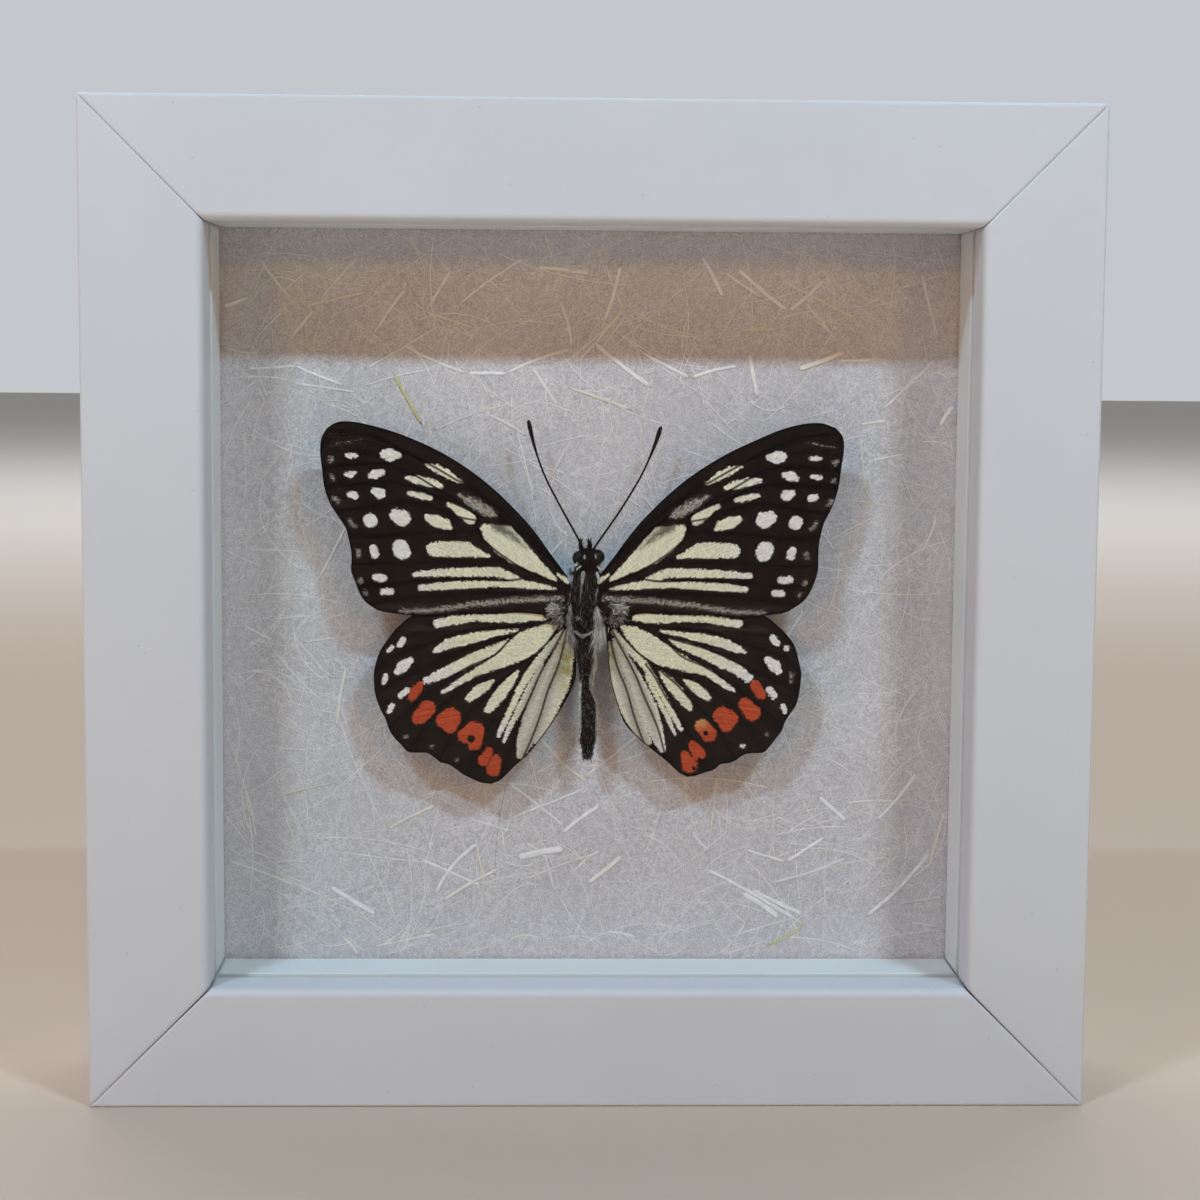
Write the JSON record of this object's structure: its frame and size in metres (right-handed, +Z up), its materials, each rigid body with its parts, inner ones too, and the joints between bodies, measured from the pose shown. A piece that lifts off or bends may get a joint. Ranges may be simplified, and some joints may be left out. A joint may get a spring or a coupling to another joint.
{
  "type": "framed butterfly specimen",
  "caption": "Dried butterfly with spread wings on handmade paper behind glass in a deep white square box frame that stands on its bottom rail or hangs.",
  "frame": {"origin": "middle of the frame's footprint, on the underside of the bottom rail", "axes": "+X along the frame to the viewer's right, +Y from the glass to the back, +Z up"},
  "size_m": [0.15, 0.032, 0.15],
  "materials": {
    "white_lacquer": "smooth white satin lacquer on wood",
    "white_spacer": "matt white paint on thin wood strips",
    "clear_glass": "clear float glass, polished",
    "mulberry_paper": "handmade pale grey paper with long fibres and straw flakes",
    "foam_board": "white faced foam board",
    "hardboard": "brown pressed hardboard, fine felted grain",
    "steel": "bright zinc plated steel",
    "insect_body": "dry cuticle covered with dark and pale hair",
    "insect_wing": "dark brown scaled wings with cream streaks, white dots and brick red spots"
  },
  "bodies": {
    "root": {"rail_bottom": "white_lacquer", "rail_left": "white_lacquer", "rail_top": "white_lacquer", "rail_right": "white_lacquer", "glass_pane": "clear_glass", "spacer_bottom": "white_spacer", "spacer_left": "white_spacer", "spacer_top": "white_spacer", "spacer_right": "white_spacer", "backing_paper": "mulberry_paper", "mount_board": "foam_board", "back_board": "hardboard", "point_bottom_1": "steel", "point_bottom_2": "steel", "point_left_1": "steel", "point_left_2": "steel", "point_top_1": "steel", "point_top_2": "steel", "point_right_1": "steel", "point_right_2": "steel", "hanger": "steel", "brad_1": "steel", "brad_2": "steel", "support_pin": "steel", "head": "insect_body", "thorax": "insect_body", "abdomen": "insect_body", "antenna_left": "insect_body", "antenna_right": "insect_body", "forewing_left": "insect_wing", "forewing_right": "insect_wing", "hindwing_left": "insect_wing", "hindwing_right": "insect_wing"}
  },
  "joints": []
}
